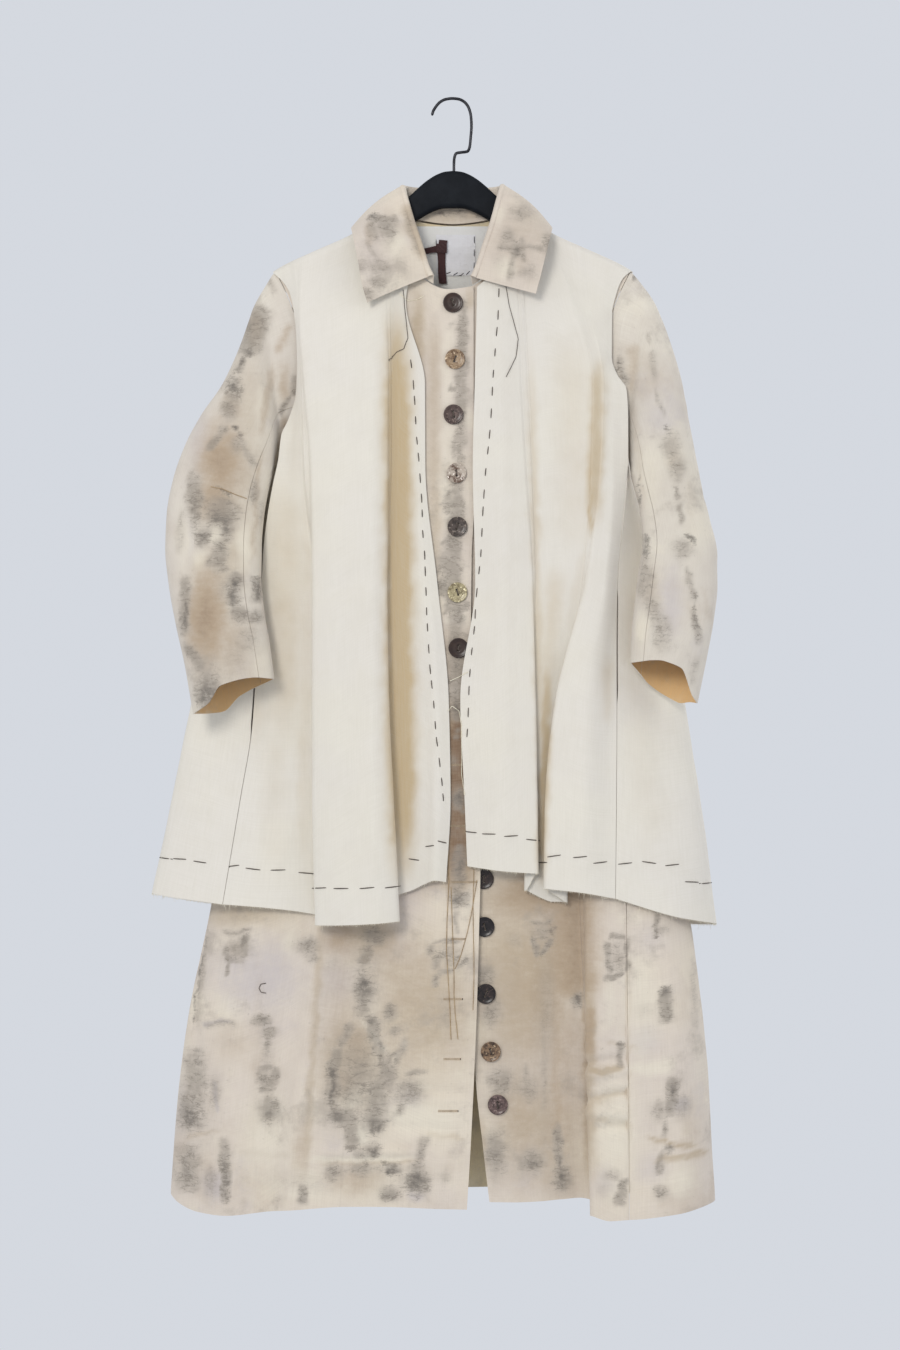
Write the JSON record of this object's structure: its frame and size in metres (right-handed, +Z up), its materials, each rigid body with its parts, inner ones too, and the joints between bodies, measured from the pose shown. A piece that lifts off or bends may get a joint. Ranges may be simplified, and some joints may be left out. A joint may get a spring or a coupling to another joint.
{
  "type": "caped coat on a hanger",
  "caption": "Long open-fronted coat with turned collar, long sleeves and a loose cape layer over it, worn on an arched hanger with a wire hook.",
  "frame": {"origin": "under the top bend of the hanger's hook, where a nail or rail holds it", "axes": "+Z up, -Y out of the front of the coat, +X towards the wearer's left"},
  "size_m": [0.6876, 0.168, 1.3556],
  "materials": {
    "cape_cloth": "undyed cream canvas, matt",
    "coat_cloth": "pinkish beige cloth with grey and tan leaf stains, matt",
    "facing_cloth": "white cotton, matt",
    "label_cloth": "white cotton, bare, matt",
    "ribbon_cloth": "dark red-brown ribbon, low sheen",
    "button_shell": "mottled brown shell, polished",
    "hanger_plastic": "near-black, satin",
    "hook_steel": "dark, satin"
  },
  "bodies": {
    "root": {"cape_front_right": "cape_cloth", "cape_front_left": "cape_cloth", "cape_back": "cape_cloth", "coat_front_right": "coat_cloth", "coat_front_right_skirt": "coat_cloth", "coat_front_left": "coat_cloth", "coat_front_left_skirt": "coat_cloth", "coat_back": "coat_cloth", "coat_back_skirt": "coat_cloth", "sleeve_right_top": "coat_cloth", "sleeve_right_forearm": "coat_cloth", "sleeve_right_under": "coat_cloth", "sleeve_left_top": "coat_cloth", "sleeve_left_forearm": "coat_cloth", "sleeve_left_under": "coat_cloth", "collar": "coat_cloth", "back_facing": "facing_cloth", "label": "label_cloth", "ribbon": "ribbon_cloth", "button_01": "button_shell", "button_02": "button_shell", "button_03": "button_shell", "button_04": "button_shell", "button_05": "button_shell", "button_06": "button_shell", "button_07": "button_shell", "button_08": "button_shell", "button_09": "button_shell", "button_10": "button_shell", "button_11": "button_shell", "button_12": "button_shell", "button_13": "button_shell", "button_14": "button_shell", "button_15": "button_shell", "hanger_body": "hanger_plastic", "hanger_hook": "hook_steel"}
  },
  "joints": []
}
